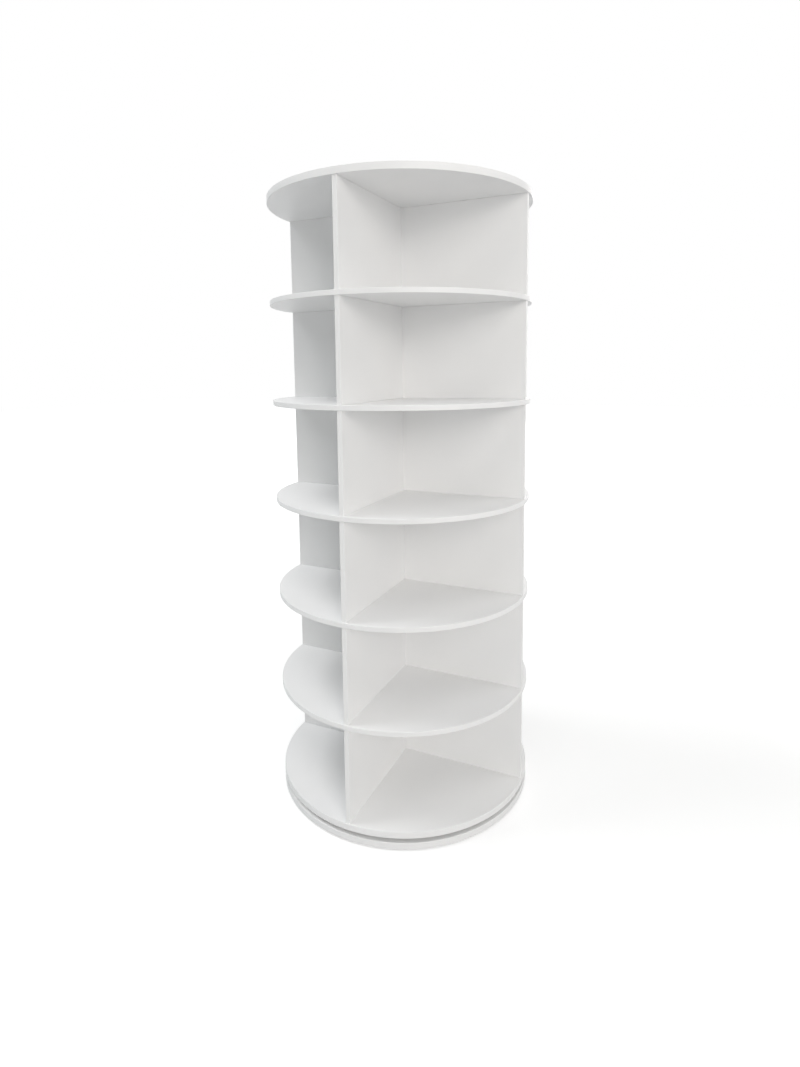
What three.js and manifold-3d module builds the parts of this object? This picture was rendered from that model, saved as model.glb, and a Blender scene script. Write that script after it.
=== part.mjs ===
// A rotating shoe tower: six tiers of round boards and upright panels on a ball-bearing turntable.
// Lengths are in millimetres and +Z is up. The origin is on the floor, under the middle of the tower.
// The long panels run along X. The front half panels stand towards -Y, and the rear ones towards +Y.

import * as THREE from 'three';
import { mergeVertices } from 'three/addons/utils/BufferGeometryUtils.js';
import Module from 'manifold-3d';

// Boards: seven in the tower, and the base board that it turns on
const boardRadius = 250;
const topThickness = 12;
const shelfThickness = 9;
const bottomThickness = 12;
const baseThickness = 12;

// Upright panels: one long panel and two half panels in each tier
const tierCount = 6;
const panelHeight = 176;
const panelThickness = 9;
const panelInset = 2;

// Wooden dowels, glued into one panel and passing into the pieces that it meets
const dowelRadius = 2.5;
const dowelDepth = 14;
const topDowelDepth = 8;
const dowelSides = 8;
const longDowelShares = [-0.75, 0.75];
const halfDowelShares = [0.25, 0.85];
const crossDowelShares = [0.25, 0.75];

// Turntable: two aluminium rings in one plane, with caged steel balls between their raceways
const bearingRadius = 130;
const ballRadius = 2.4;
const ballCount = 18;
const raceClearance = 0.35;
const ringLip = 1.25;
const ringWidth = 19;
const ringGap = 2;
const ringRise = 0.6;
const ringChamfer = 0.8;
const cageLip = 0.7;
const cageClearance = 0.4;

// Screws: all are driven from below, with the head down
const fitClearance = 0.3;
const holeEndGap = 1;
const ringScrewCount = 4;
const ringScrewRadius = 1.75;
const ringScrewHeadRadius = 3.5;
const ringScrewHeadHeight = 2.2;
const ringScrewHeadRim = 0.4;
const ringScrewGrip = 8;
const ringScrewTip = 2.5;
const baseScrewCount = 4;
const baseScrewRadius = 2;
const baseScrewHeadRadius = 4;
const baseScrewHeadHeight = 2.6;
const baseScrewRecess = 4;
const baseScrewGrip = 5.5;
const baseScrewTip = 0.5;
const panelScrewRadius = 2.2;
const panelScrewHeadRadius = 4.5;
const panelScrewHeadHeight = 3;
const panelScrewHeadRim = 0.5;
const panelScrewGrip = 33;
const panelScrewTip = 3;
const screwSides = 8;

// Anti-slip pads under the base board
const padCount = 6;
const padRadius = 14;
const padThickness = 3;
const padEdgeDistance = 35;
const padSides = 20;

// How finely round things are cut into flats, and how far a cut runs past a face
const boardSides = 72;
const ringSides = 60;
const raceSteps = 6;
const ballSides = 8;
const ballRings = 4;
const cutOverrun = 1;

// Heights of the stack, worked out from the floor up
const baseUnderside = padThickness;
const baseTop = baseUnderside + baseThickness;
const grooveRadius = ballRadius + raceClearance;
const turntableHeight = 2 * (grooveRadius + ringLip);
const ringHeight = turntableHeight - ringRise;
const bottomUnderside = baseTop + turntableHeight;
const firstFloor = bottomUnderside + bottomThickness;
const tierPitch = panelHeight + shelfThickness;
const tierFloor = (tier) => firstFloor + tier * tierPitch;
const topUnderside = tierFloor(tierCount - 1) + panelHeight;

// Reach of the panels from the tower's axis
const panelReach = boardRadius - panelInset;
const halfPanelStart = panelThickness / 2;
const halfPanelLength = panelReach - halfPanelStart;

const wasm = await Module();
wasm.setup();

// A closed geometry as a solid that can be cut and joined
function toSolid(geometry) {
  const bare = geometry.clone();
  bare.deleteAttribute('normal');
  bare.deleteAttribute('uv');
  const merged = mergeVertices(bare);
  const corners = merged.index.array;
  const triangles = [];
  for (let i = 0; i < corners.length; i += 3) {
    const [a, b, c] = corners.slice(i, i + 3);
    if (a !== b && b !== c && c !== a) triangles.push(a, b, c);
  }
  return new wasm.Manifold(new wasm.Mesh({
    numProp: 3,
    vertProperties: merged.attributes.position.array,
    triVerts: new Uint32Array(triangles),
  }));
}

// A solid as a geometry again
function toGeometry(solid) {
  const mesh = solid.getMesh();
  const geometry = new THREE.BufferGeometry();
  geometry.setAttribute('position', new THREE.BufferAttribute(mesh.vertProperties, 3));
  geometry.setIndex(new THREE.BufferAttribute(mesh.triVerts, 1));
  geometry.computeVertexNormals();
  return geometry;
}

// One body from a first shape, with others joined to it and others cut out of it
function shape(body, { add = [], cut = [] }) {
  let solid = toSolid(body);
  for (const piece of add) solid = solid.add(toSolid(piece));
  for (const piece of cut) solid = solid.subtract(toSolid(piece));
  return toGeometry(solid);
}

// An upright round bar from one height to another
function rod({ x = 0, y = 0, from, to, radius, sides }) {
  const geometry = new THREE.CylinderGeometry(radius, radius, to - from, sides);
  return geometry.rotateX(Math.PI / 2).translate(x, y, (from + to) / 2);
}

// A round bar lying along Y
function crossRod({ x = 0, z = 0, from, to, radius, sides }) {
  const geometry = new THREE.CylinderGeometry(radius, radius, to - from, sides);
  return geometry.translate(x, (from + to) / 2, z);
}

// A profile of [radius, height] points turned about the upright axis
function turned(profile, sides) {
  const points = profile.map(([radius, height]) => new THREE.Vector2(radius, height));
  return new THREE.LatheGeometry(points, sides).rotateX(Math.PI / 2);
}

// Places spread evenly round a circle, the first one half a step from the X axis
function places(count, radius) {
  return Array.from({ length: count }, (_, i) => {
    const angle = ((i + 0.5) / count) * 2 * Math.PI;
    return { x: radius * Math.cos(angle), y: radius * Math.sin(angle) };
  });
}

// Where the dowels stand in a long panel and in a half panel, along the panel
const longDowels = longDowelShares.map((share) => share * panelReach);
const halfDowels = halfDowelShares.map((share) => halfPanelStart + share * halfPanelLength);
const crossDowels = crossDowelShares.map((share) => share * panelHeight);

// The same places seen from above, for the boards that the dowels or screws pass
const joints = [
  ...longDowels.map((x) => ({ x, y: 0 })),
  ...halfDowels.map((y) => ({ x: 0, y: -y })),
  ...halfDowels.map((y) => ({ x: 0, y })),
];

// The hole for a dowel, upright
function dowelHole({ x, y }, from, to) {
  return rod({ x, y, from, to, radius: dowelRadius + fitClearance, sides: dowelSides });
}

// A screw standing on its head: the head's upright rim, its seat, the shank and the tip
function screw({ radius, headRadius, headHeight, headRim, length, tip }) {
  return turned([
    [0, 0],
    [headRadius, 0],
    [headRadius, headRim],
    [radius, headHeight],
    [radius, length - tip],
    [radius / 2, length],
    [0, length],
  ], screwSides);
}

// The hole that a screw goes into from below. It is open at the bottom, with the head sunk in it.
function screwHole({ radius, headRadius, headHeight, headRim, length, sunk }) {
  return turned([
    [0, -sunk - cutOverrun],
    [headRadius + fitClearance, -sunk - cutOverrun],
    [headRadius + fitClearance, headRim],
    [radius + fitClearance, headHeight],
    [radius + fitClearance, length + holeEndGap],
    [0, length + holeEndGap],
  ], screwSides);
}

const ringScrew = {
  radius: ringScrewRadius,
  headRadius: ringScrewHeadRadius,
  headHeight: ringScrewHeadHeight,
  headRim: ringScrewHeadRim,
  length: ringHeight + ringScrewGrip,
  tip: ringScrewTip,
  sunk: 0,
};
const panelScrew = {
  radius: panelScrewRadius,
  headRadius: panelScrewHeadRadius,
  headHeight: panelScrewHeadHeight,
  headRim: panelScrewHeadRim,
  length: bottomThickness + panelScrewGrip,
  tip: panelScrewTip,
  sunk: 0,
};
const baseScrew = {
  radius: baseScrewRadius,
  headRadius: baseScrewHeadRadius,
  headHeight: baseScrewHeadHeight,
  headRim: baseScrewHeadHeight,
  length: baseScrewHeadHeight + baseThickness - baseScrewRecess + baseScrewGrip,
  tip: baseScrewTip,
  sunk: baseScrewRecess - baseScrewHeadHeight,
};

// Long panel: dowels stand on its top edge, holes wait in its bottom edge, and two holes go through
// the middle for the cross dowels. The lowest one has pilot holes for screws instead.
function longPanel(dowelLength, footHole) {
  const slab = new THREE.BoxGeometry(2 * panelReach, panelThickness, panelHeight);
  slab.translate(0, 0, panelHeight / 2);
  const add = longDowels.map((x) => rod({
    x,
    from: panelHeight - dowelDepth,
    to: panelHeight + dowelLength,
    radius: dowelRadius,
    sides: dowelSides,
  }));
  const feet = longDowels.map((x) => footHole({ x, y: 0 }));
  const crossings = crossDowels.map((z) => crossRod({
    z,
    from: -panelThickness / 2 - cutOverrun,
    to: panelThickness / 2 + cutOverrun,
    radius: dowelRadius + fitClearance,
    sides: dowelSides,
  }));
  return shape(slab, { add, cut: [...feet, ...crossings] });
}

// Half panel: side is -1 for the front and 1 for the rear. The rear one carries the cross dowels,
// which pass through the long panel into holes in the front one.
function halfPanel(side, dowelLength, footHole) {
  const slab = new THREE.BoxGeometry(panelThickness, halfPanelLength, panelHeight);
  slab.translate(0, side * (halfPanelStart + halfPanelLength / 2), panelHeight / 2);
  const add = halfDowels.map((y) => rod({
    y: side * y,
    from: panelHeight - dowelDepth,
    to: panelHeight + dowelLength,
    radius: dowelRadius,
    sides: dowelSides,
  }));
  const cut = halfDowels.map((y) => footHole({ x: 0, y: side * y }));
  for (const z of crossDowels) {
    if (side > 0) {
      add.push(crossRod({
        z,
        from: -halfPanelStart - dowelDepth,
        to: halfPanelStart + dowelDepth,
        radius: dowelRadius,
        sides: dowelSides,
      }));
    } else {
      cut.push(crossRod({
        z,
        from: -halfPanelStart - dowelDepth - holeEndGap,
        to: -halfPanelStart + cutOverrun,
        radius: dowelRadius + fitClearance,
        sides: dowelSides,
      }));
    }
  }
  return shape(slab, { add, cut });
}

// Holes in a panel's bottom edge
function dowelFoot(place) {
  return dowelHole(place, -cutOverrun, dowelDepth + holeEndGap);
}
function screwFoot({ x, y }) {
  return screwHole(panelScrew).translate(x, y, -bottomThickness);
}

// A plain round board, resting on z = 0
function disc(thickness) {
  return rod({ from: 0, to: thickness, radius: boardRadius, sides: boardSides });
}

// Shelf board: the dowels pass right through it
function shelfBoard() {
  const cut = joints.map((place) => dowelHole(place, -cutOverrun, shelfThickness + cutOverrun));
  return shape(disc(shelfThickness), { cut });
}

// Top board: blind holes in its underside take the dowels of the highest panels
function topBoard() {
  const cut = joints.map((place) => dowelHole(place, -cutOverrun, topDowelDepth + holeEndGap));
  return shape(disc(topThickness), { cut });
}

const innerRingScrewCircle = bearingRadius - (ringGap + ringWidth) / 2;
const outerRingScrewCircle = bearingRadius + (ringGap + ringWidth) / 2;

// Bottom board: countersunk holes for the panel screws, and pilot holes for the inner ring's screws
function bottomBoard() {
  const panelHoles = joints.map(({ x, y }) => screwHole(panelScrew).translate(x, y, 0));
  const ringHoles = places(ringScrewCount, innerRingScrewCircle).map(({ x, y }) => (
    screwHole(ringScrew).translate(x, y, -ringHeight)
  ));
  return shape(disc(bottomThickness), { cut: [...panelHoles, ...ringHoles] });
}

// Base board: recessed holes from below for the screws that hold the outer ring
function baseBoard() {
  const cut = places(baseScrewCount, outerRingScrewCircle).map(({ x, y }) => (
    screwHole(baseScrew).translate(x, y, baseScrew.sunk)
  ));
  return shape(disc(baseThickness), { cut });
}

// Half of the raceway's mouth, where the groove meets a ring's wall
const raceMouth = Math.sqrt(grooveRadius ** 2 - (ringGap / 2) ** 2);
const raceAngle = Math.atan2(raceMouth, ringGap / 2);

// The raceway's round groove, from its lower lip to its upper one. Side is 1 in the outer ring.
function raceway(side, middle) {
  return Array.from({ length: raceSteps + 1 }, (_, i) => {
    const angle = raceAngle * ((2 * i) / raceSteps - 1);
    return [
      bearingRadius + side * grooveRadius * Math.cos(angle),
      middle + grooveRadius * Math.sin(angle),
    ];
  });
}

// Outer ring: it lies on the base board, and its raceway faces inwards
function outerRing() {
  const middle = turntableHeight / 2;
  const wall = bearingRadius + ringGap / 2;
  const rim = wall + ringWidth;
  const profile = [
    [wall, 0],
    [rim, 0],
    [rim, ringHeight - ringChamfer],
    [rim - ringChamfer, ringHeight],
    [wall, ringHeight],
    ...raceway(1, middle).reverse(),
    [wall, 0],
  ];
  const cut = places(baseScrewCount, outerRingScrewCircle).map(({ x, y }) => rod({
    x,
    y,
    from: -cutOverrun,
    to: ringHeight + cutOverrun,
    radius: baseScrewRadius + fitClearance,
    sides: screwSides,
  }));
  return shape(turned(profile, ringSides), { cut });
}

// Inner ring: it hangs under the bottom board, and its raceway faces outwards
function innerRing() {
  const middle = turntableHeight / 2 - ringRise;
  const wall = bearingRadius - ringGap / 2;
  const rim = wall - ringWidth;
  const profile = [
    [rim + ringChamfer, 0],
    [wall, 0],
    ...raceway(-1, middle),
    [wall, ringHeight],
    [rim, ringHeight],
    [rim, ringChamfer],
    [rim + ringChamfer, 0],
  ];
  const cut = places(ringScrewCount, innerRingScrewCircle).map(({ x, y }) => (
    screwHole(ringScrew).translate(x, y, 0)
  ));
  return shape(turned(profile, ringSides), { cut });
}

// Ball cage: a thin band between the rings, a little taller than the balls that sit in its pockets
function ballCage() {
  const outside = bearingRadius + ringGap / 2 - cageClearance;
  const inside = bearingRadius - ringGap / 2 + cageClearance;
  const edge = ballRadius + cageLip;
  const band = turned([
    [inside, -edge],
    [outside, -edge],
    [outside, edge],
    [inside, edge],
    [inside, -edge],
  ], ringSides);
  const add = places(ballCount, bearingRadius).map(({ x, y }) => (
    new THREE.SphereGeometry(ballRadius, ballSides, ballRings).rotateX(Math.PI / 2).translate(x, y, 0)
  ));
  return shape(band, { add });
}

// Finishes: satin white board, cast and turned metal, nylon and rubber
const finishes = {
  whiteBoard: { color: 0xf1f1ef, roughness: 0.42, metalness: 0 },
  aluminium: { color: 0xc9cbcd, roughness: 0.38, metalness: 1 },
  steel: { color: 0xb4b6b8, roughness: 0.3, metalness: 1 },
  nylon: { color: 0xe4e2da, roughness: 0.5, metalness: 0 },
  rubber: { color: 0x2b2b2b, roughness: 0.85, metalness: 0 },
};

// A named piece, standing at a place
function piece(name, geometry, finish, { x = 0, y = 0, z = 0 } = {}) {
  const mesh = new THREE.Mesh(geometry, new THREE.MeshStandardMaterial(finishes[finish]));
  mesh.name = name;
  mesh.position.set(x, y, z);
  return mesh;
}

// The part that stands still: base board, pads, outer ring and its screws
function makeBase() {
  const base = new THREE.Group();
  base.add(piece('base_board', baseBoard(), 'whiteBoard', { z: baseUnderside }));
  base.add(piece('turntable_outer_ring', outerRing(), 'aluminium', { z: baseTop }));
  places(baseScrewCount, outerRingScrewCircle).forEach(({ x, y }, i) => {
    const z = baseUnderside + baseScrew.sunk;
    base.add(piece(`base_screw_${i + 1}`, screw(baseScrew), 'steel', { x, y, z }));
  });
  places(padCount, boardRadius - padEdgeDistance).forEach(({ x, y }, i) => {
    const pad = rod({ from: 0, to: padThickness, radius: padRadius, sides: padSides });
    base.add(piece(`foot_pad_${i + 1}`, pad, 'rubber', { x, y }));
  });
  return base;
}

// One tier of panels, standing on its floor
function makeTier(tier) {
  const lowest = tier === 0;
  const highest = tier === tierCount - 1;
  const dowelLength = highest ? topDowelDepth : shelfThickness + dowelDepth;
  const footHole = lowest ? screwFoot : dowelFoot;
  const panels = new THREE.Group();
  panels.position.z = tierFloor(tier);
  panels.add(piece(`long_panel_${tier + 1}`, longPanel(dowelLength, footHole), 'whiteBoard'));
  panels.add(piece(`front_half_panel_${tier + 1}`, halfPanel(-1, dowelLength, footHole), 'whiteBoard'));
  panels.add(piece(`rear_half_panel_${tier + 1}`, halfPanel(1, dowelLength, footHole), 'whiteBoard'));
  return panels;
}

// The part that turns: inner ring, bottom board, tiers of panels, shelves and top board
function makeTower() {
  const tower = new THREE.Group();
  const ringZ = bottomUnderside - ringHeight;
  tower.add(piece('turntable_inner_ring', innerRing(), 'aluminium', { z: ringZ }));
  places(ringScrewCount, innerRingScrewCircle).forEach(({ x, y }, i) => {
    tower.add(piece(`ring_screw_${i + 1}`, screw(ringScrew), 'steel', { x, y, z: ringZ }));
  });
  tower.add(piece('bottom_board', bottomBoard(), 'whiteBoard', { z: bottomUnderside }));
  joints.forEach(({ x, y }, i) => {
    tower.add(piece(`panel_screw_${i + 1}`, screw(panelScrew), 'steel', { x, y, z: bottomUnderside }));
  });
  for (let tier = 0; tier < tierCount; tier += 1) {
    tower.add(makeTier(tier));
    if (tier > 0) {
      const z = tierFloor(tier) - shelfThickness;
      tower.add(piece(`shelf_board_${tier}`, shelfBoard(), 'whiteBoard', { z }));
    }
  }
  tower.add(piece('top_board', topBoard(), 'whiteBoard', { z: topUnderside }));
  return tower;
}

const shoeTower = new THREE.Group();
shoeTower.add(makeBase());
shoeTower.add(piece('ball_cage', ballCage(), 'nylon', { z: baseTop + turntableHeight / 2 }));
shoeTower.add(makeTower());

export default shoeTower;
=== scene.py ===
import math

import bmesh
import bpy
from mathutils import Matrix, Vector


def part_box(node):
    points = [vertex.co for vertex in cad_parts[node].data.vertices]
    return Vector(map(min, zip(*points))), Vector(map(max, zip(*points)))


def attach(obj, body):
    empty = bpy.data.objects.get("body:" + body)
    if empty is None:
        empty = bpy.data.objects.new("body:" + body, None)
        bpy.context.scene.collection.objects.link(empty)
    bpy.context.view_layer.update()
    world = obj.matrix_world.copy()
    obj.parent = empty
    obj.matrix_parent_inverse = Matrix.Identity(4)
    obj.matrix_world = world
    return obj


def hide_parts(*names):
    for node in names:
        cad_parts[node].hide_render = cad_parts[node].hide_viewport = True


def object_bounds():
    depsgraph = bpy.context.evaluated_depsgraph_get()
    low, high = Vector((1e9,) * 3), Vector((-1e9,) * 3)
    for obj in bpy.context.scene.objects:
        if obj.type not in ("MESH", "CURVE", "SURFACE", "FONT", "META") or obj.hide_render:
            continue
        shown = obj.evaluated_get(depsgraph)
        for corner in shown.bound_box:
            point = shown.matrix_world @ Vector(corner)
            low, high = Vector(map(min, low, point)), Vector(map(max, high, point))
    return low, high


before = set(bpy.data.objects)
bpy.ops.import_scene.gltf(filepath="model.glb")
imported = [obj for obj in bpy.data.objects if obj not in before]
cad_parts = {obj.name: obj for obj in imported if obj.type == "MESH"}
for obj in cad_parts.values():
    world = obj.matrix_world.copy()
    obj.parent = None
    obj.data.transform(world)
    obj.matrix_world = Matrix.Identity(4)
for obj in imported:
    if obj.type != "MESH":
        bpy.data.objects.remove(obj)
cad_low, cad_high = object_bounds()


# Base board
# The round board that stays on the floor while the tower turns. It is wood-fibre board faced with white
# laminate, sawn round, with a plastic edge band glued round the rim and its corners eased by hand.

BAND = 0.001           # thickness of the plastic edge band
GLUE_LINE = 0.00012    # hairline between a face and its edge band
EASE = 0.0007          # radius of the eased corners
CORNER_STEPS = 4
RIM_STEPS = 288
HOLE_STEPS = 32
SHARP_ANGLE = math.radians(35)      # edges that turn by more stay sharp
PATCH_LOW, PATCH_HIGH = 0.3, 0.7    # part of a noise's range that its two ends are spread over
BASE_SCREWS = 4
BASE_SCREW_RADIUS = 0.002
BASE_HEAD_RADIUS = 0.004
BASE_HEAD_HEIGHT = 0.0026
SHANK_ROOM = 0.0003    # room round a screw in its hole


def mesh_of(bm, name):
    """The finished mesh of a bmesh, with its faces turned outwards."""
    bmesh.ops.recalc_face_normals(bm, faces=bm.faces)
    mesh = bpy.data.meshes.new(name)
    bm.to_mesh(mesh)
    bm.free()
    return mesh


def skin(bm, rows, ring=False):
    """Faces between rows of vertices that go round. In a ring, the last row is joined to the first."""
    steps = len(rows[0])
    pairs = list(zip(rows, rows[1:]))
    if ring:
        pairs.append((rows[-1], rows[0]))
    for low, high in pairs:
        for i in range(steps):
            j = (i + 1) % steps
            bm.faces.new((low[i], low[j], high[j], high[i]))
    if not ring:
        bm.faces.new(list(reversed(rows[0])))
        bm.faces.new(rows[-1])


def turned(name, outline, steps, ring=False):
    """A mesh turned about the upright axis from (radius, height) points."""
    bm = bmesh.new()
    rows = []
    for radius, height in outline:
        angles = [2 * math.pi * i / steps for i in range(steps)]
        rows.append([bm.verts.new((radius * math.cos(a), radius * math.sin(a), height)) for a in angles])
    skin(bm, rows, ring)
    return mesh_of(bm, name)


def corner(radius, height, ease, start):
    """A rounded corner as (radius, height) points, a quarter turn from a starting angle in degrees."""
    points = []
    for i in range(CORNER_STEPS + 1):
        angle = math.radians(start + 90 * i / CORNER_STEPS)
        points.append((radius + ease * math.cos(angle), height + ease * math.sin(angle)))
    return points


def as_piece(name, mesh, material=None):
    """An object for a mesh, shaded smooth over its rounded corners and flat over its faces."""
    if material:
        mesh.materials.append(material)
    mesh.shade_smooth()
    mesh.set_sharp_from_angle(angle=SHARP_ANGLE)
    piece = bpy.data.objects.new(name, mesh)
    bpy.context.scene.collection.objects.link(piece)
    even = piece.modifiers.new("even_shading", "WEIGHTED_NORMAL")
    even.keep_sharp = True
    return piece


def upright(spots, low, high):
    """Upright lines on spots seen from above, from one height to another."""
    return [(Vector((x, y, low)), Vector((x, y, high))) for x, y in spots]


def pegs(lines, radius):
    """Round cutters along lines, all in one mesh."""
    bm = bmesh.new()
    for start, end in lines:
        turn = (end - start).to_track_quat("Z", "Y").to_matrix().to_4x4()
        place = Matrix.Translation((start + end) / 2) @ turn
        bmesh.ops.create_cone(bm, cap_ends=True, segments=HOLE_STEPS, radius1=radius, radius2=radius,
                              depth=(end - start).length, matrix=place)
    return mesh_of(bm, "pegs")


def bored(mesh, cutters, core=None):
    """The mesh with cutters taken out of it. The walls of the holes get the core's material."""
    body = bpy.data.objects.new("body", mesh)
    bpy.context.scene.collection.objects.link(body)
    tools = []
    for cutter in cutters:
        if core:
            cutter.materials.append(core)
        tool = bpy.data.objects.new("tool", cutter)
        bpy.context.scene.collection.objects.link(tool)
        cut = body.modifiers.new("cut", "BOOLEAN")
        cut.operation = "DIFFERENCE"
        cut.solver = "EXACT"
        cut.material_mode = "TRANSFER"
        cut.object = tool
        tools.append(tool)
    seen = body.evaluated_get(bpy.context.evaluated_depsgraph_get())
    made = bpy.data.meshes.new_from_object(seen)
    made.name = mesh.name
    for helper in [body, *tools]:
        bpy.data.objects.remove(helper)
    return made


def blank_material(name, color, roughness, metallic=0.0):
    """A material with its shader, and the object's own coordinates in metres for what varies over it."""
    material = bpy.data.materials.new(name)
    material.use_nodes = True
    shader = material.node_tree.nodes["Principled BSDF"]
    shader.inputs["Base Color"].default_value = (*color, 1)
    shader.inputs["Roughness"].default_value = roughness
    shader.inputs["Metallic"].default_value = metallic
    where = material.node_tree.nodes.new("ShaderNodeTexCoord").outputs["Object"]
    return material, shader, where


def noise(material, where, scale, detail=2.0, stretch=(1, 1, 1)):
    """Soft random patches, scale of them to a metre, drawn out along an axis by a stretch below 1."""
    nodes, links = material.node_tree.nodes, material.node_tree.links
    mapping = nodes.new("ShaderNodeMapping")
    mapping.inputs["Scale"].default_value = stretch
    links.new(where, mapping.inputs["Vector"])
    texture = nodes.new("ShaderNodeTexNoise")
    texture.inputs["Scale"].default_value = scale
    texture.inputs["Detail"].default_value = detail
    links.new(mapping.outputs["Vector"], texture.inputs["Vector"])
    return texture.outputs["Fac"]


def tint(material, shader, factor, dark, light):
    """The base colour runs between two colours as the factor goes from low to high."""
    nodes, links = material.node_tree.nodes, material.node_tree.links
    ramp = nodes.new("ShaderNodeValToRGB")
    ramp.color_ramp.elements[0].position = PATCH_LOW
    ramp.color_ramp.elements[0].color = (*dark, 1)
    ramp.color_ramp.elements[1].position = PATCH_HIGH
    ramp.color_ramp.elements[1].color = (*light, 1)
    links.new(factor, ramp.inputs["Fac"])
    links.new(ramp.outputs["Color"], shader.inputs["Base Color"])


def gloss(material, shader, factor, low, high):
    """The roughness runs between two values as the factor goes from low to high."""
    nodes, links = material.node_tree.nodes, material.node_tree.links
    spread = nodes.new("ShaderNodeMapRange")
    spread.inputs["From Min"].default_value = PATCH_LOW
    spread.inputs["From Max"].default_value = PATCH_HIGH
    spread.inputs["To Min"].default_value = low
    spread.inputs["To Max"].default_value = high
    links.new(factor, spread.inputs["Value"])
    links.new(spread.outputs["Result"], shader.inputs["Roughness"])


def relief(material, shader, factor, depth, strength):
    """A fine relief of a depth in metres."""
    nodes, links = material.node_tree.nodes, material.node_tree.links
    bump = nodes.new("ShaderNodeBump")
    bump.inputs["Distance"].default_value = depth
    bump.inputs["Strength"].default_value = strength
    links.new(factor, bump.inputs["Height"])
    links.new(bump.outputs["Normal"], shader.inputs["Normal"])


def make_laminate():
    """Satin white laminate: almost one colour, with a fine pearled surface pressed into it."""
    material, shader, where = blank_material("white_laminate", color=(0.86, 0.86, 0.86), roughness=0.5)
    clouds = noise(material, where, scale=6.0)
    tint(material, shader, clouds, dark=(0.845, 0.847, 0.85), light=(0.868, 0.868, 0.866))
    gloss(material, shader, noise(material, where, scale=14.0, detail=3.0), low=0.46, high=0.54)
    relief(material, shader, noise(material, where, scale=1500.0), depth=0.00005, strength=0.4)
    return material


def make_edge_band():
    """The plastic edge band: smoother than the laminate, with faint trimming marks, and greyed as painted
    rim shade.
    """
    # The band's greys are set below the laminate's white as painted shade that darkens the rims.
    material, shader, where = blank_material("edge_band", color=(0.83, 0.83, 0.83), roughness=0.47)
    clouds = noise(material, where, scale=18.0)
    trimming = noise(material, where, scale=700.0, stretch=(1, 1, 0.15))
    tint(material, shader, clouds, dark=(0.819, 0.822, 0.825), light=(0.836, 0.838, 0.838))
    gloss(material, shader, noise(material, where, scale=40.0, detail=3.0), low=0.43, high=0.51)
    relief(material, shader, trimming, depth=0.00002, strength=0.2)
    return material


def make_fibre_core():
    """The sawn core of the board: pressed wood fibre, light brown and furry."""
    material, shader, where = blank_material("fibre_core", color=(0.42, 0.29, 0.17), roughness=0.9)
    fibres = noise(material, where, scale=900.0, detail=6.0)
    tint(material, shader, fibres, dark=(0.33, 0.215, 0.12), light=(0.52, 0.37, 0.23))
    fur = noise(material, where, scale=2200.0, detail=4.0)
    relief(material, shader, fur, depth=0.0002, strength=0.6)
    return material


laminate = make_laminate()
edge_band = make_edge_band()
fibre_core = make_fibre_core()


def settle(piece, body, node=None):
    """A piece rides on its body. Where a node is given, that node's part is hidden and the piece stands
    for it.
    """
    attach(piece, body)
    if node:
        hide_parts(node)


def round_board(label, node, body, cutters):
    """A round board with its holes, and its edge band trimmed flush with both corners eased."""
    low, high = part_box(node)
    core = high.x - BAND - GLUE_LINE
    mesh = turned(f"{label}_core", [(core, low.z), (core, high.z)], RIM_STEPS)
    mesh.materials.append(laminate)
    settle(as_piece(f"{label}_core", bored(mesh, cutters, fibre_core)), body, node)
    inside, outside = high.x - BAND, high.x - EASE
    outline = [(inside, low.z)]
    outline += corner(outside, low.z + EASE, EASE, -90)
    outline += corner(outside, high.z - EASE, EASE, 0)
    outline += [(inside, high.z)]
    mesh = turned(f"{label}_edge_band", outline, RIM_STEPS, ring=True)
    settle(as_piece(f"{label}_edge_band", mesh, edge_band), body)


def middles(prefix, count):
    """Where a row of like nodes stands, seen from above."""
    boxes = [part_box(f"{prefix}_{i + 1}") for i in range(count)]
    return [((low.x + high.x) / 2, (low.y + high.y) / 2) for low, high in boxes]


base_screw_spots = middles("base_screw", BASE_SCREWS)
base_low, base_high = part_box("base_board")
base_screw_low, base_screw_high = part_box("base_screw_1")
round_board("base_board", "base_board", "base", [
    pegs(upright(base_screw_spots, base_low.z - EASE, base_screw_low.z + BASE_HEAD_HEIGHT),
         BASE_HEAD_RADIUS + SHANK_ROOM),
    pegs(upright(base_screw_spots, base_low.z, base_high.z + EASE), BASE_SCREW_RADIUS + SHANK_ROOM),
])


# Foot pads
# Six round rubber pads stuck under the base board. Each is a moulded disc with a rounded edge and two
# shallow grooves in its sole, which grip the floor.

PADS = 6
PAD_STEPS = 64
PAD_EDGE = 0.0009
GROOVE_SHARES = (0.42, 0.7)    # radii of the grooves
GROOVE_WIDTH = 0.0012
GROOVE_DEPTH = 0.0006


def make_rubber():
    """Black rubber: dull, with a fine grain and a trace of dust."""
    material, shader, where = blank_material("pad_rubber", color=(0.03, 0.03, 0.031), roughness=0.85)
    dust = noise(material, where, scale=220.0, detail=4.0)
    tint(material, shader, dust, dark=(0.024, 0.024, 0.025), light=(0.045, 0.044, 0.043))
    grain = noise(material, where, scale=2600.0, detail=3.0)
    relief(material, shader, grain, depth=0.0001, strength=0.5)
    return material


rubber = make_rubber()
for number in range(1, PADS + 1):
    low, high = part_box(f"foot_pad_{number}")
    radius = (high.x - low.x) / 2
    outline = []
    for share in GROOVE_SHARES:
        middle = share * radius
        outline += [
            (middle - GROOVE_WIDTH / 2, low.z),
            (middle - GROOVE_WIDTH / 4, low.z + GROOVE_DEPTH),
            (middle + GROOVE_WIDTH / 4, low.z + GROOVE_DEPTH),
            (middle + GROOVE_WIDTH / 2, low.z),
        ]
    outline += corner(radius - PAD_EDGE, low.z + PAD_EDGE, PAD_EDGE, -90) + [(radius, high.z)]
    pad = as_piece(f"pad_{number}", turned("pad", outline, PAD_STEPS), rubber)
    pad.location = ((low.x + high.x) / 2, (low.y + high.y) / 2, 0)
    settle(pad, "base", f"foot_pad_{number}")


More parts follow.
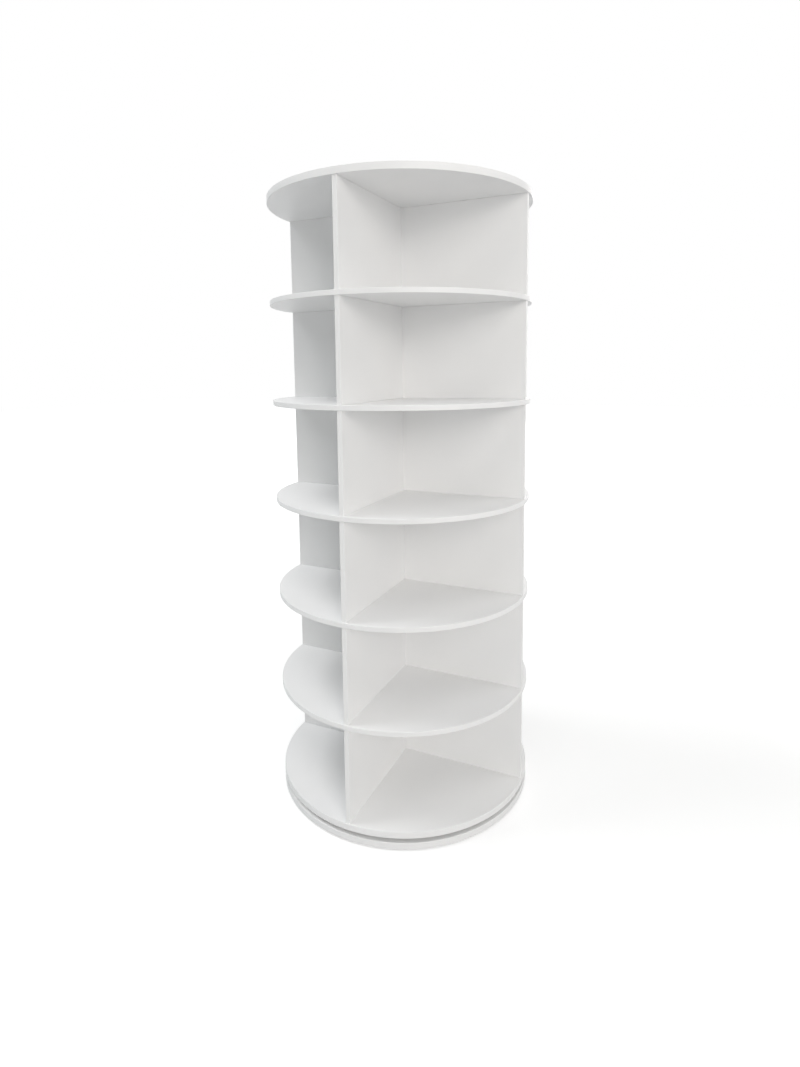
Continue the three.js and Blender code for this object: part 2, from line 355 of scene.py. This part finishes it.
# Turntable, outer ring
# A flat aluminium ring, turned from the solid, that is screwed to the base board from below. The round
# groove in its inner wall is one half of the raceway that the balls run in.

RING_STEPS = 240
RACE_STEPS = 12
BALL_RADIUS = 0.0024
RACE_ROOM = 0.00035    # room between a ball and the groove
RING_GAP = 0.002       # between the two rings
RING_EDGE = 0.0008
groove = BALL_RADIUS + RACE_ROOM
outer_low, outer_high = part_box("turntable_outer_ring")
inner_low, inner_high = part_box("turntable_inner_ring")
race_radius = inner_high.x + RING_GAP / 2
race_height = (outer_low.z + inner_high.z) / 2
ring_width = outer_high.x - race_radius - RING_GAP / 2


def raceway(side):
    """The groove of the raceway from its lower lip to its upper one; side is 1 in the outer ring."""
    half = math.acos(RING_GAP / 2 / groove)
    points = []
    for i in range(RACE_STEPS + 1):
        angle = half * (2 * i / RACE_STEPS - 1)
        points.append((race_radius + side * groove * math.cos(angle),
                       race_height + groove * math.sin(angle)))
    return points


def make_aluminium():
    """Turned aluminium: fine rings left by the tool, dulled by a thin clear anodic coat."""
    material, shader, where = blank_material("turned_aluminium", color=(0.78, 0.785, 0.79),
                                             roughness=0.36, metallic=1.0)
    rings = material.node_tree.nodes.new("ShaderNodeTexWave")
    rings.wave_type = "RINGS"
    rings.rings_direction = "Z"
    rings.inputs["Scale"].default_value = 900.0
    rings.inputs["Distortion"].default_value = 0.6
    material.node_tree.links.new(where, rings.inputs["Vector"])
    clouds = noise(material, where, scale=60.0, detail=4.0)
    tint(material, shader, clouds, dark=(0.74, 0.745, 0.75), light=(0.81, 0.812, 0.815))
    gloss(material, shader, noise(material, where, scale=120.0, detail=3.0), low=0.32, high=0.42)
    relief(material, shader, rings.outputs["Fac"], depth=0.00003, strength=0.35)
    shader.inputs["Anisotropic"].default_value = 0.4
    return material


aluminium = make_aluminium()
wall = race_radius + RING_GAP / 2
outline = [(wall, outer_low.z), (outer_high.x, outer_low.z), (outer_high.x, outer_high.z - RING_EDGE)]
outline += [(outer_high.x - RING_EDGE, outer_high.z), (wall, outer_high.z)] + raceway(1)[::-1]
ring_mesh = turned("outer_ring", outline, RING_STEPS, ring=True)
ring_mesh.materials.append(aluminium)
ring_mesh = bored(ring_mesh, [
    pegs(upright(base_screw_spots, outer_low.z - EASE, outer_high.z + EASE),
         BASE_SCREW_RADIUS + SHANK_ROOM),
])
settle(as_piece("outer_ring", ring_mesh), "base", "turntable_outer_ring")


# Base screws
# Four zinc-plated machine screws that come up through the base board and hold the outer ring. The pan
# heads sit in recesses under the board, and the thread runs into the ring.

TURN_STEPS = 20        # steps round a thread
PITCH_STEPS = 6        # steps along one pitch of it
CROSS_SHARE = 0.55     # reach of the driver's cross, as a share of the head's radius
WING_SHARE = 0.2       # thickness of a wing of the cross, as the same share
WING_FOOT_SHARE = 0.5  # size of a wing at the bottom of the cross, as a share of its size at the mouth
CROSS_DEPTH_SHARE = 0.6    # depth of the cross, as a share of the head's height
POINT_SHARE = 0.12     # blunt tip of a wood screw, as a share of its shank
PAN_HEAD_SHARES = ((0.7, 0), (0.9, 0.15), (1, 0.45), (1, 1))    # radius and height up a pan head


def make_zinc():
    """Bright zinc plate: pale blue-grey metal, cloudy here and there."""
    material, shader, where = blank_material("zinc_plate", color=(0.66, 0.67, 0.69), roughness=0.32,
                                             metallic=1.0)
    clouds = noise(material, where, scale=400.0, detail=4.0)
    tint(material, shader, clouds, dark=(0.58, 0.59, 0.62), light=(0.72, 0.73, 0.74))
    gloss(material, shader, noise(material, where, scale=700.0, detail=3.0), low=0.26, high=0.44)
    pores = noise(material, where, scale=3500.0, detail=3.0)
    relief(material, shader, pores, depth=0.00002, strength=0.3)
    return material


def screw_mesh(name, head, shank, length, pitch, bite, point):
    """A screw standing on its head. The thread rises from its root by bite to the shank's radius."""
    bm = bmesh.new()
    rows = [[(radius, height)] * TURN_STEPS for radius, height in head]
    start = head[-1][1]
    steps = int((length - start) / pitch * PITCH_STEPS)
    for k in range(1, steps + 1):
        height = start + (length - start) * k / steps
        taper = min(1.0, POINT_SHARE + (length - height) / point)
        row = []
        for i in range(TURN_STEPS):
            phase = (height / pitch - i / TURN_STEPS) % 1
            row.append(((shank - bite * abs(2 * phase - 1)) * taper, height))
        rows.append(row)
    made = []
    for row in rows:
        ring = []
        for i, (radius, height) in enumerate(row):
            angle = 2 * math.pi * i / TURN_STEPS
            ring.append(bm.verts.new((radius * math.cos(angle), radius * math.sin(angle), height)))
        made.append(ring)
    skin(bm, made)
    mesh = mesh_of(bm, name)
    mesh.materials.append(zinc)
    return mesh


def driver_cross(head_radius, depth):
    """The two wings of a driver's cross, each a wedge that narrows inwards."""
    wings = []
    for angle in (0, math.pi / 2):
        bm = bmesh.new()
        place = Matrix.Rotation(angle, 4, "Z") @ Matrix.Translation((0, 0, (depth - EASE) / 2))
        reach, thickness = 2 * CROSS_SHARE * head_radius, WING_SHARE * head_radius
        size = Matrix.Diagonal((reach, thickness, depth + EASE, 1))
        made = bmesh.ops.create_cube(bm, size=1, matrix=place @ size)
        for vert in made["verts"]:
            if vert.co.z > depth / 2:
                vert.co.xy = vert.co.xy * WING_FOOT_SHARE
        wings.append(mesh_of(bm, "wing"))
    return wings


def set_screws(mesh, prefix, label, spots, body):
    """Copies of one screw, each where its node is."""
    for number, (x, y) in enumerate(spots, 1):
        piece = as_piece(f"{label}_{number}", mesh.copy())
        piece.location = (x, y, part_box(f"{prefix}_{number}")[0].z)
        settle(piece, body, f"{prefix}_{number}")


zinc = make_zinc()
pan_head = [(across * BASE_HEAD_RADIUS, up * BASE_HEAD_HEIGHT) for across, up in PAN_HEAD_SHARES]
pan_head.append((BASE_SCREW_RADIUS, BASE_HEAD_HEIGHT))
machine_screw = screw_mesh("machine_screw", pan_head, BASE_SCREW_RADIUS,
                           base_screw_high.z - base_screw_low.z, pitch=0.0007, bite=0.0003, point=0.0006)
machine_screw = bored(machine_screw,
                      driver_cross(BASE_HEAD_RADIUS, CROSS_DEPTH_SHARE * BASE_HEAD_HEIGHT))
set_screws(machine_screw, "base_screw", "machine_screw", base_screw_spots, "base")


# Ball cage and balls
# Steel balls run between the two rings. A thin nylon band keeps them apart: each ball sits in a round
# pocket of the band, and the band goes round with them at half the speed of the tower.

BALLS = 18
CAGE_ROOM = 0.0004     # between the band and each ring
CAGE_LIP = 0.0007      # band left above and below a ball
POCKET_ROOM = 0.00012  # between a ball and its pocket
half_band = RING_GAP / 2 - CAGE_ROOM
half_height = BALL_RADIUS + CAGE_LIP


def make_nylon():
    """Natural nylon: milky, waxy and a little cloudy."""
    material, shader, where = blank_material("natural_nylon", color=(0.84, 0.82, 0.76), roughness=0.5)
    clouds = noise(material, where, scale=150.0, detail=3.0)
    tint(material, shader, clouds, dark=(0.8, 0.775, 0.7), light=(0.86, 0.845, 0.79))
    gloss(material, shader, noise(material, where, scale=300.0), low=0.42, high=0.56)
    relief(material, shader, noise(material, where, scale=1800.0), depth=0.00003, strength=0.3)
    shader.inputs["Subsurface Weight"].default_value = 0.15
    shader.inputs["Subsurface Scale"].default_value = 0.002
    return material


def make_ball_steel():
    """Polished bearing steel with a faint haze of oil on it."""
    material, shader, where = blank_material("ball_steel", color=(0.72, 0.73, 0.74), roughness=0.1,
                                             metallic=1.0)
    haze = noise(material, where, scale=500.0, detail=3.0)
    tint(material, shader, haze, dark=(0.68, 0.69, 0.7), light=(0.74, 0.75, 0.76))
    gloss(material, shader, noise(material, where, scale=900.0, detail=3.0), low=0.06, high=0.16)
    return material


def ball_mesh(name, radius, across):
    """Balls round the raceway, evenly spaced, all in one mesh, with some facets across each."""
    bm = bmesh.new()
    for i in range(BALLS):
        angle = 2 * math.pi * (i + 0.5) / BALLS
        spot = (race_radius * math.cos(angle), race_radius * math.sin(angle), race_height)
        bmesh.ops.create_uvsphere(bm, u_segments=2 * across, v_segments=across, radius=radius,
                                  matrix=Matrix.Translation(spot))
    return mesh_of(bm, name)


band_mesh = turned("cage_band", [
    (race_radius - half_band, race_height - half_height),
    (race_radius + half_band, race_height - half_height),
    (race_radius + half_band, race_height + half_height),
    (race_radius - half_band, race_height + half_height),
], RING_STEPS, ring=True)
band_mesh.materials.append(make_nylon())
band_mesh = bored(band_mesh, [ball_mesh("pockets", BALL_RADIUS + POCKET_ROOM, across=12)])
settle(as_piece("cage_band", band_mesh), "ball_cage", "ball_cage")
balls = as_piece("bearing_balls", ball_mesh("bearing_balls", BALL_RADIUS, across=14), make_ball_steel())
settle(balls, "ball_cage")


# Turntable, inner ring
# The turning half of the bearing: an aluminium ring inside the other, with its groove facing outwards.
# Four countersunk wood screws hold it up against the bottom board.

RING_SCREWS = 4
RING_SCREW_RADIUS = 0.00175
RING_HEAD_RADIUS = 0.0035
RING_HEAD_HEIGHT = 0.0022
HEAD_RIM = 0.0004      # upright edge of a countersunk head
HEAD_FACE_SHARE = 0.92     # flat face of that head, as a share of its radius
ring_screw_spots = middles("ring_screw", RING_SCREWS)
ring_screw_low, ring_screw_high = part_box("ring_screw_1")


def countersinks(spots, floor, head_radius, head_height, shank, ceiling):
    """Cutters for countersunk screws from below: short wall and cone for the head, then the shank."""
    bm = bmesh.new()
    for x, y in spots:
        rows = []
        for radius, height in ((head_radius, floor - EASE), (head_radius, floor + HEAD_RIM),
                               (shank, floor + head_height), (shank, ceiling)):
            angles = [2 * math.pi * i / HOLE_STEPS for i in range(HOLE_STEPS)]
            rows.append([bm.verts.new((x + radius * math.cos(a), y + radius * math.sin(a), height))
                         for a in angles])
        skin(bm, rows)
    return mesh_of(bm, "countersinks")


def flat_head(head_radius, head_height, shank):
    """The outline of a countersunk head, up to its shank."""
    return [(HEAD_FACE_SHARE * head_radius, 0), (head_radius, HEAD_RIM / 2), (head_radius, HEAD_RIM),
            (shank, head_height)]


wall = race_radius - RING_GAP / 2
rim = wall - ring_width
outline = [(rim + RING_EDGE, inner_low.z), (wall, inner_low.z)] + raceway(-1)
outline += [(wall, inner_high.z), (rim, inner_high.z), (rim, inner_low.z + RING_EDGE)]
ring_mesh = turned("inner_ring", outline, RING_STEPS, ring=True)
ring_mesh.materials.append(aluminium)
ring_mesh = bored(ring_mesh, [
    countersinks(ring_screw_spots, inner_low.z, RING_HEAD_RADIUS + SHANK_ROOM, RING_HEAD_HEIGHT,
                 RING_SCREW_RADIUS + SHANK_ROOM, inner_high.z + EASE),
])
settle(as_piece("inner_ring", ring_mesh), "tower", "turntable_inner_ring")
wood_screw = screw_mesh("wood_screw", flat_head(RING_HEAD_RADIUS, RING_HEAD_HEIGHT, RING_SCREW_RADIUS),
                        RING_SCREW_RADIUS, ring_screw_high.z - ring_screw_low.z,
                        pitch=0.0014, bite=0.0005, point=0.003)
wood_screw = bored(wood_screw, driver_cross(RING_HEAD_RADIUS, CROSS_DEPTH_SHARE * RING_HEAD_HEIGHT))
set_screws(wood_screw, "ring_screw", "wood_screw", ring_screw_spots, "tower")


# Bottom board
# The lowest board that turns, of the same sheet as the base board. The lowest panels are screwed to it
# from below, with long countersunk screws, before the bearing goes on.

PANEL_SCREWS = 6
PANEL_SCREW_RADIUS = 0.0022
PANEL_HEAD_RADIUS = 0.0045
PANEL_HEAD_HEIGHT = 0.003
PILOT_ROOM = 0.001     # depth of a hole past the tip of its screw or dowel
joint_spots = middles("panel_screw", PANEL_SCREWS)
bottom_low, bottom_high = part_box("bottom_board")
panel_screw_low, panel_screw_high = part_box("panel_screw_1")
round_board("bottom_board", "bottom_board", "tower", [
    countersinks(joint_spots, bottom_low.z, PANEL_HEAD_RADIUS + SHANK_ROOM, PANEL_HEAD_HEIGHT,
                 PANEL_SCREW_RADIUS + SHANK_ROOM, bottom_high.z + EASE),
    pegs(upright(ring_screw_spots, bottom_low.z - EASE, ring_screw_high.z + PILOT_ROOM),
         RING_SCREW_RADIUS + SHANK_ROOM),
])
long_screw = screw_mesh("long_wood_screw",
                        flat_head(PANEL_HEAD_RADIUS, PANEL_HEAD_HEIGHT, PANEL_SCREW_RADIUS),
                        PANEL_SCREW_RADIUS, panel_screw_high.z - panel_screw_low.z,
                        pitch=0.002, bite=0.0006, point=0.004)
long_screw = bored(long_screw, driver_cross(PANEL_HEAD_RADIUS, CROSS_DEPTH_SHARE * PANEL_HEAD_HEIGHT))
set_screws(long_screw, "panel_screw", "long_wood_screw", joint_spots, "tower")


# Upright panels
# In each tier one long panel crosses the whole board and two half panels stand square to it. They are
# thinner board of the same white, sawn off top and bottom, with edge band on the ends at the rim.

TIERS = 6
SAWN_EASE = 0.0005             # broken corners of the sawn edges
CROSS_SHARES = (0.25, 0.75)    # heights of the cross dowels in a panel
UPRIGHT_SHARE = 0.99           # a face is level where its normal points up or down by this much
DOWEL_RADIUS = 0.0025
DOWEL_ROOM = 0.0003            # room round a dowel where it isn't glued
DOWEL_DEPTH = 0.014            # how far a dowel goes into each panel
FLUTES = 16
FLUTE_DEPTH = 0.00018
DOWEL_CHAMFER = 0.0005
half_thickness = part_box("long_panel_1")[1].y
panel_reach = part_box("long_panel_1")[1].x


def make_beech():
    """Beech dowel: pale pinkish wood with short dark flecks along it."""
    material, shader, where = blank_material("beech_dowel", color=(0.62, 0.43, 0.27), roughness=0.6)
    flecks = noise(material, where, scale=1200.0, detail=5.0, stretch=(1, 1, 0.12))
    tint(material, shader, flecks, dark=(0.5, 0.33, 0.2), light=(0.68, 0.49, 0.32))
    relief(material, shader, flecks, depth=0.0001, strength=0.4)
    return material


def block(bm, low, high):
    """A block between two corners. Gives its upright edges and its level ones."""
    place = Matrix.Translation((low + high) / 2) @ Matrix.Diagonal((*(high - low), 1))
    made = bmesh.ops.create_cube(bm, size=1, matrix=place)
    edges = [edge for edge in bm.edges if edge.verts[0] in made["verts"]]
    stands = [edge for edge in edges if abs(edge.verts[0].co.z - edge.verts[1].co.z) > BAND]
    return stands, [edge for edge in edges if edge not in stands]


def panel_core(name, start, end, floor, ceiling):
    """The faced core of a panel along X. Its sawn edges, at top and bottom, are just broken."""
    bm = bmesh.new()
    level = block(bm, Vector((start, -half_thickness, floor)), Vector((end, half_thickness, ceiling)))[1]
    bmesh.ops.bevel(bm, geom=level, offset=SAWN_EASE, segments=2, profile=0.5, affect="EDGES")
    bm.normal_update()
    for face in bm.faces:
        face.material_index = 1 if abs(face.normal.z) > UPRIGHT_SHARE else 0
    mesh = mesh_of(bm, name)
    mesh.materials.append(laminate)
    mesh.materials.append(fibre_core)
    return mesh


def panel_bands(name, sides, floor, ceiling):
    """Strips of edge band on the ends of a panel along X, with their outer corners eased."""
    bm = bmesh.new()
    for side in sides:
        low_x, high_x = sorted((side * (panel_reach - BAND), side * panel_reach))
        low, high = Vector((low_x, -half_thickness, floor)), Vector((high_x, half_thickness, ceiling))
        stands = block(bm, low, high)[0]
        outer = [edge for edge in stands if abs(edge.verts[0].co.x) > panel_reach - BAND / 2]
        bmesh.ops.bevel(bm, geom=outer, offset=EASE, segments=CORNER_STEPS, profile=0.5, affect="EDGES")
    return mesh_of(bm, name)


def dowel_mesh(name, lines):
    """Fluted beech dowels along lines, their ends chamfered."""
    bm = bmesh.new()
    for start, end in lines:
        along = end - start
        turn = along.to_track_quat("Z", "Y").to_matrix()
        rows = []
        for height, chamfer in ((0, DOWEL_CHAMFER), (DOWEL_CHAMFER, 0),
                                (along.length - DOWEL_CHAMFER, 0), (along.length, DOWEL_CHAMFER)):
            row = []
            for i in range(2 * FLUTES):
                angle = math.pi * i / FLUTES
                radius = DOWEL_RADIUS - chamfer - FLUTE_DEPTH * (i % 2)
                spot = Vector((radius * math.cos(angle), radius * math.sin(angle), height))
                row.append(bm.verts.new(start + turn @ spot))
            rows.append(row)
        skin(bm, rows)
    return mesh_of(bm, name)


def panel(label, degrees, start, sides, cutters, pins, floor, ceiling):
    """One panel made along X and then turned into place: its core, its edge bands and its dowels."""
    turn = Matrix.Rotation(math.radians(degrees), 4, "Z")
    core = panel_core(f"{label}_core", start, panel_reach - BAND - GLUE_LINE, floor, ceiling)
    pieces = [
        ("core", bored(core, cutters, fibre_core), None, "white_board", label),
        ("edge_band", panel_bands(f"{label}_edge_band", sides, floor, ceiling), edge_band,
         "edge_band", None),
        ("dowels", dowel_mesh(f"{label}_dowels", pins), beech, "dowel_wood", None),
    ]
    for kind, mesh, material, slot, node in pieces:
        mesh.transform(turn)
        settle(as_piece(f"{label}_{kind}", mesh, material), "tower", node)


def level_lines(heights, start, end, along=(1, 0, 0)):
    """Level lines from the tower's axis outwards, one at each height."""
    return [(Vector(along) * start + Vector((0, 0, z)), Vector(along) * end + Vector((0, 0, z)))
            for z in heights]


def standing_lines(radii, low, high):
    """Upright lines along a panel, one at each distance from the tower's axis."""
    return upright([(radius, 0) for radius in radii], low, high)


beech = make_beech()
long_radii = [x for x, y in joint_spots if abs(y) < half_thickness]
half_radii = [y for x, y in joint_spots if y > half_thickness]
joint_reach = half_thickness + DOWEL_DEPTH
loose_radius = DOWEL_RADIUS + DOWEL_ROOM
for tier in range(1, TIERS + 1):
    floor = bottom_high.z if tier == 1 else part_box(f"shelf_board_{tier - 1}")[1].z
    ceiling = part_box("top_board" if tier == TIERS else f"shelf_board_{tier}")[0].z
    dowel_foot, dowel_top = ceiling - DOWEL_DEPTH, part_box(f"long_panel_{tier}")[1].z
    heights = [floor + share * (ceiling - floor) for share in CROSS_SHARES]
    # The lowest panels stand on screws, and the others on the dowels of the tier below
    if tier == 1:
        foot_radius, foot_top = PANEL_SCREW_RADIUS + SHANK_ROOM, panel_screw_high.z + PILOT_ROOM
    else:
        foot_radius, foot_top = loose_radius, floor + DOWEL_DEPTH + PILOT_ROOM

    through = pegs(level_lines(heights, -half_thickness - EASE, half_thickness + EASE, (0, 1, 0)),
                   loose_radius)
    loose = pegs(level_lines(heights, half_thickness - EASE, joint_reach + PILOT_ROOM), loose_radius)
    glued = pegs(level_lines(heights, half_thickness - EASE, joint_reach), DOWEL_RADIUS)
    cross_dowels = level_lines(heights, -joint_reach, joint_reach)
    for label, degrees, start, sides, radii, cutter, crossing in (
            ("long_panel", 0, GLUE_LINE + BAND - panel_reach, (-1, 1), long_radii, through, []),
            ("front_half_panel", -90, half_thickness, (1,), half_radii, loose, []),
            ("rear_half_panel", 90, half_thickness, (1,), half_radii, glued, cross_dowels)):
        cutters = [pegs(standing_lines(radii, floor - EASE, foot_top), foot_radius),
                   pegs(standing_lines(radii, dowel_foot, ceiling + EASE), DOWEL_RADIUS), cutter]
        pins = standing_lines(radii, dowel_foot, dowel_top) + crossing
        panel(f"{label}_{tier}", degrees, start, sides, cutters, pins, floor, ceiling)


# Shelf boards
# Five round boards of thinner sheet between the tiers. The dowels of the panels below pass right through
# them, so each shelf is clamped between the panels under it and over it.

for number in range(1, TIERS):
    low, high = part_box(f"shelf_board_{number}")
    round_board(f"shelf_{number}", f"shelf_board_{number}", "tower", [
        pegs(upright(joint_spots, low.z - EASE, high.z + EASE), loose_radius),
    ])


# Top board
# The lid of the tower, of the thicker sheet. The dowels of the highest panels end in blind holes in its
# underside, so nothing shows on top.

top_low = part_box("top_board")[0]
round_board("top_board", "top_board", "tower", [
    pegs(upright(joint_spots, top_low.z - EASE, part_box(f"long_panel_{TIERS}")[1].z + PILOT_ROOM),
         loose_radius),
])


# Floor, light and camera
# A pale studio: a wide white floor, an even white surround and soft square lamps. The camera stands
# where the photograph was taken from, close by and between the heights of the two highest shelf boards.

FLOOR_HALF = 12.0
FLOOR_GREY = 0.6       # of the floor that lights the tower from below
NEAR_GLOW = 0.5        # added where the camera sees the floor, which makes it white outside the shadow
FAR_GLOW = 1.0         # the same past the reach of the lamps
NEAR_REACH = 0.8       # distance from the axis at which the glow starts to grow
FAR_REACH = 3.2        # and at which it is whole
SURROUND = (0.238, 0.258, 0.254)    # the even light on the tower; the camera sees white there
LAMP_SIZE = 3.9
LAMP_DISTANCE = 8.0    # from the middle of the tower
WARM = (1.0, 0.96, 0.93)            # the colours of the lamps' light
NEUTRAL = (1.0, 0.97, 0.97)
COOL = (0.967, 0.97, 0.985)


def seen_directly(nodes, links):
    """1 for rays from the camera, for reflections and through glass, and 0 for the rest."""
    path = nodes.new("ShaderNodeLightPath")
    total = path.outputs["Is Camera Ray"]
    for other in ("Is Glossy Ray", "Is Transmission Ray"):
        larger = nodes.new("ShaderNodeMath")
        larger.operation = "MAXIMUM"
        links.new(total, larger.inputs[0])
        links.new(path.outputs[other], larger.inputs[1])
        total = larger.outputs["Value"]
    return total


def make_floor():
    """White paper floor. What it shows directly is lifted to white but keeps the tower's shadow."""
    material = bpy.data.materials.new("studio_floor")
    material.use_nodes = True
    nodes, links = material.node_tree.nodes, material.node_tree.links
    shader = nodes["Principled BSDF"]
    shader.inputs["Base Color"].default_value = (FLOOR_GREY, FLOOR_GREY, FLOOR_GREY, 1)
    shader.inputs["Roughness"].default_value = 1.0
    shader.inputs["Specular IOR Level"].default_value = 0.0
    shader.inputs["Emission Color"].default_value = (1, 1, 1, 1)
    reach = nodes.new("ShaderNodeVectorMath")
    reach.operation = "LENGTH"
    links.new(nodes.new("ShaderNodeTexCoord").outputs["Object"], reach.inputs[0])
    glow = nodes.new("ShaderNodeMapRange")
    glow.inputs["From Min"].default_value = NEAR_REACH
    glow.inputs["From Max"].default_value = FAR_REACH
    glow.inputs["To Min"].default_value = NEAR_GLOW
    glow.inputs["To Max"].default_value = FAR_GLOW
    links.new(reach.outputs["Value"], glow.inputs["Value"])
    lift = nodes.new("ShaderNodeMath")
    lift.operation = "MULTIPLY"
    links.new(glow.outputs["Result"], lift.inputs[0])
    links.new(seen_directly(nodes, links), lift.inputs[1])
    links.new(lift.outputs["Value"], shader.inputs["Emission Strength"])
    return material


bm = bmesh.new()
bmesh.ops.create_grid(bm, x_segments=8, y_segments=8, size=FLOOR_HALF)
floor_mesh = mesh_of(bm, "studio_floor")
floor_mesh.materials.append(make_floor())
studio_floor = bpy.data.objects.new("studio_floor", floor_mesh)
bpy.context.scene.collection.objects.link(studio_floor)

world = bpy.data.worlds.new("studio")
bpy.context.scene.world = world
world.use_nodes = True
nodes, links = world.node_tree.nodes, world.node_tree.links
even_light, white = nodes["Background"], nodes.new("ShaderNodeBackground")
even_light.inputs["Color"].default_value = (*SURROUND, 1)
white.inputs["Color"].default_value = (1, 1, 1, 1)
sky = nodes.new("ShaderNodeMixShader")
links.new(seen_directly(nodes, links), sky.inputs["Fac"])
links.new(even_light.outputs["Background"], sky.inputs[1])
links.new(white.outputs["Background"], sky.inputs[2])
links.new(sky.outputs["Shader"], nodes["World Output"].inputs["Surface"])


def lamp(name, azimuth, elevation, power, color):
    """A square soft lamp, its power in watts, aimed at the tower; azimuth 0 is in front, 90 is +X."""
    data = bpy.data.lights.new(name, "AREA")
    data.shape = "SQUARE"
    data.size = LAMP_SIZE
    data.energy = power
    data.color = color
    piece = bpy.data.objects.new(name, data)
    bpy.context.scene.collection.objects.link(piece)
    middle = Vector((0, 0, cad_high.z / 2))
    around, above = math.radians(azimuth), math.radians(elevation)
    way = Vector((math.cos(above) * math.sin(around), -math.cos(above) * math.cos(around),
                  math.sin(above)))
    piece.location = middle + LAMP_DISTANCE * way
    piece.rotation_euler = (-way).to_track_quat("-Z", "Y").to_euler()


lamp("low_front_lamp", 50, 10, 136, WARM)
lamp("front_lamp", 40, 25, 175, WARM)
lamp("high_front_lamp", 10, 60, 94, NEUTRAL)
lamp("left_lamp", -70, 52, 295, COOL)
lamp("right_lamp", 115, 40, 118, NEUTRAL)
lamp("rear_lamp", 180, 15, 192, NEUTRAL)

PHOTO_HEIGHT = 1067
LONG_SIDE = 36.0                       # of the camera's sensor, in its usual millimetres
azimuth = math.radians(24.37)          # from straight in front, towards +X
distance, height = 1.261, 0.837        # from the tower's axis, and above the floor
aside = 0.0034                         # how far past the axis the lens points, in radians
heading = azimuth + aside
pitch, roll = -0.1203, -0.0102         # in radians
focal_pixels = 635.1
axis_pixel_y = 443.0                   # where the lens points, in the photograph
forward = Vector((-math.sin(heading) * math.cos(pitch), math.cos(heading) * math.cos(pitch),
                  math.sin(pitch)))
level_right = Vector((math.cos(heading), math.sin(heading), 0))
level_up = level_right.cross(forward)
right = math.cos(roll) * level_right + math.sin(roll) * level_up
up = -math.sin(roll) * level_right + math.cos(roll) * level_up
camera_data = bpy.data.cameras.new("camera")
camera_data.sensor_width = LONG_SIDE
camera_data.lens = focal_pixels / PHOTO_HEIGHT * LONG_SIDE
camera_data.shift_y = (axis_pixel_y - PHOTO_HEIGHT / 2) / PHOTO_HEIGHT
camera = bpy.data.objects.new("camera", camera_data)
bpy.context.scene.collection.objects.link(camera)
turn = Matrix((right, up, -forward)).transposed().to_4x4()
spot = Matrix.Translation((distance * math.sin(azimuth), -distance * math.cos(azimuth), height))
camera.matrix_world = spot @ turn
bpy.context.scene.camera = camera
bpy.context.scene.view_settings.view_transform = "Standard"
